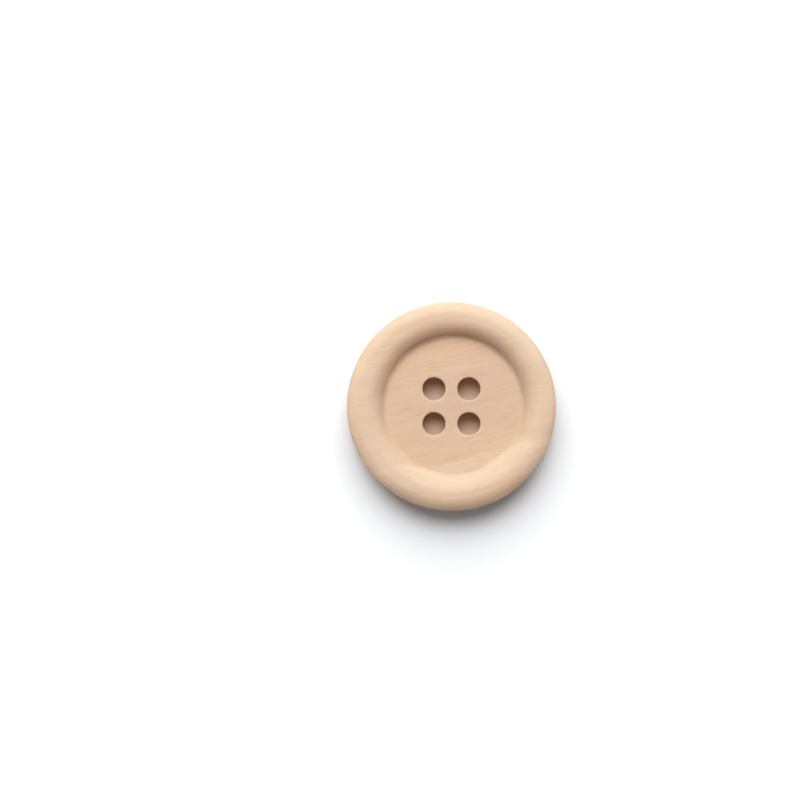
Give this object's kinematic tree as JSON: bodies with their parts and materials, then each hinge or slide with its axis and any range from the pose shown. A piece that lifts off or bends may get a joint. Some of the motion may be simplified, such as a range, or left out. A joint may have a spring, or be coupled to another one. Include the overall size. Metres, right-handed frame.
{
  "type": "wooden sewing button",
  "caption": "Round sewing button turned from pale wood, with a rounded rim, a shallow recess and thread holes through its flat floor.",
  "frame": {"origin": "middle of the flat back, where the button lies on the table", "axes": "+Z out of the dished front, along the holes; +X and +Y along the two rows of the square hole pattern"},
  "size_m": [0.011, 0.011, 0.0021],
  "materials": {
    "wood": "sanded, unvarnished, satin"
  },
  "bodies": {
    "root": {"button": "wood"}
  },
  "joints": []
}
